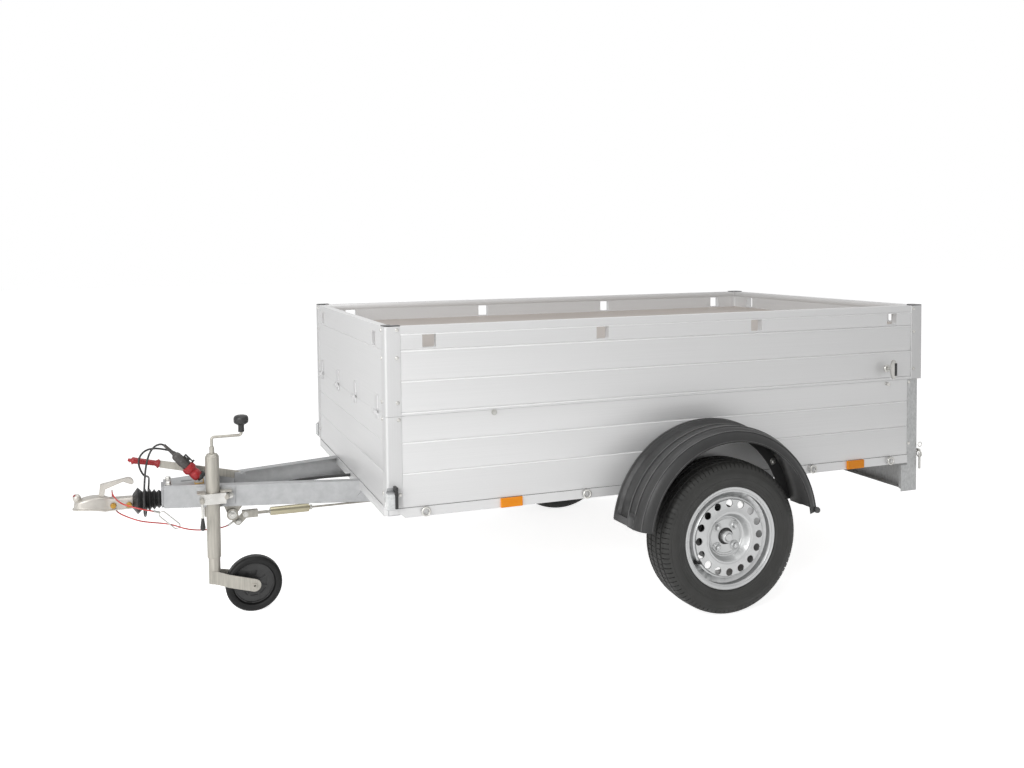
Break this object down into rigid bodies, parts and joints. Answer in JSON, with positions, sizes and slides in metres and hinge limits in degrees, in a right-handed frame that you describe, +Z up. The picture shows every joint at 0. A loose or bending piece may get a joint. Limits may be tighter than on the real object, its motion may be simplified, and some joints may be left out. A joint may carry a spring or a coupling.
{
  "type": "braked utility trailer with a hinged hard top",
  "caption": "Single-axle braked utility trailer with an aluminium load box, hinged hard-top lid, drop tailgate, mudguards and a jockey wheel.",
  "frame": {"origin": "bottom centre of the trailer's box, on the ground", "axes": "+X forward to the coupling, +Y to the left, +Z up"},
  "size_m": [3.171, 1.712, 1.06],
  "materials": {
    "board_aluminium": "anodised extrusion",
    "zinc_steel": "hot-dip galvanised",
    "yellow_zinc": "yellow passivated",
    "cast_grey": "cast, grey",
    "plywood": "film-faced plywood",
    "guard_plastic": "moulded, satin",
    "black_plastic": "moulded",
    "tyre_rubber": "matt",
    "rim_silver": "silver lacquer",
    "soft_rubber": "matt",
    "red_plastic": "moulded",
    "orange_lens": "reflector",
    "clear_lens": "lens",
    "red_lens": "lens"
  },
  "bodies": {
    "root": {"axle_beam": "zinc_steel", "box_hinge_leaves": "board_aluminium", "brake_bell_crank": "zinc_steel", "brake_rod": "zinc_steel", "brake_spring_canister": "yellow_zinc", "breakaway_cable": "red_plastic", "breakaway_hook": "zinc_steel", "coupling_bellows": "soft_rubber", "coupling_head": "cast_grey", "coupling_lever": "zinc_steel", "cross_members": "zinc_steel", "drawbar_beams": "zinc_steel", "drawbar_top_plate": "zinc_steel", "electric_cable": "soft_rubber", "electric_plug": "black_plastic", "floor_panel": "plywood", "front_board": "board_aluminium", "front_corner_posts": "board_aluminium", "front_marker_lamps": "clear_lens", "handbrake_grip": "red_plastic", "handbrake_lever": "zinc_steel", "harness_cable": "soft_rubber", "jockey_clamp": "zinc_steel", "jockey_clamp_grip": "black_plastic", "lashing_eyes": "zinc_steel", "latch_keepers": "zinc_steel", "left_board": "board_aluminium", "mudguards": "guard_plastic", "overrun_housing": "zinc_steel", "plug_holder": "black_plastic", "rear_corner_posts": "zinc_steel", "rear_lamp_carrier": "zinc_steel", "rear_lamps": "red_lens", "right_board": "board_aluminium", "side_rails": "board_aluminium", "side_reflectors": "orange_lens", "swing_arms": "zinc_steel", "tailgate_pivot_pins": "zinc_steel"},
    "wheel_left": {"left_tyre": "tyre_rubber", "left_rim": "rim_silver", "left_brake_drum": "cast_grey"},
    "wheel_right": {"right_tyre": "tyre_rubber", "right_rim": "rim_silver", "right_brake_drum": "cast_grey"},
    "lid": {"lid_left_board": "board_aluminium", "lid_right_board": "board_aluminium", "lid_front_board": "board_aluminium", "lid_rear_board": "board_aluminium", "lid_top_panel": "plywood", "lid_corner_posts": "board_aluminium", "lid_post_caps": "black_plastic", "lid_hinge_leaves": "board_aluminium", "lid_latches": "zinc_steel"},
    "tailgate": {"tailgate_board": "board_aluminium", "tailgate_fittings": "zinc_steel"},
    "jockey_leg": {"jockey_tube": "zinc_steel", "jockey_crank_knob": "black_plastic"},
    "jockey_swivel": {"jockey_fork": "zinc_steel"},
    "jockey_roller": {"jockey_wheel": "black_plastic"}
  },
  "joints": [
    {"name": "wheel_left_spin", "type": "hinge", "parent": "root", "child": "wheel_left", "pos_m": [-0.5865, 0.7555, 0.2735], "axis": [0, 1, 0], "continuous": true},
    {"name": "wheel_right_spin", "type": "hinge", "parent": "root", "child": "wheel_right", "pos_m": [-0.5865, -0.7555, 0.2735], "axis": [0, 1, 0], "continuous": true},
    {"name": "lid_hinge", "type": "hinge", "parent": "root", "child": "lid", "pos_m": [0.6165, 0, 0.76325], "axis": [0, 1, 0], "range_deg": [0, 55]},
    {"name": "tailgate_hinge", "type": "hinge", "parent": "root", "child": "tailgate", "pos_m": [-1.5765, 0, 0.474], "axis": [0, -1, 0], "range_deg": [0, 180]},
    {"name": "jockey_slide", "type": "slide", "parent": "root", "child": "jockey_leg", "axis": [0, 0, 1], "range_m": [0, 0.175]},
    {"name": "jockey_swivel_turn", "type": "hinge", "parent": "jockey_leg", "child": "jockey_swivel", "pos_m": [1.1165, 0.125, 0.3], "axis": [0, 0, 1], "continuous": true},
    {"name": "jockey_wheel_spin", "type": "hinge", "parent": "jockey_swivel", "child": "jockey_roller", "pos_m": [0.9815, 0.125, 0.1], "axis": [0, 1, 0], "continuous": true}
  ]
}
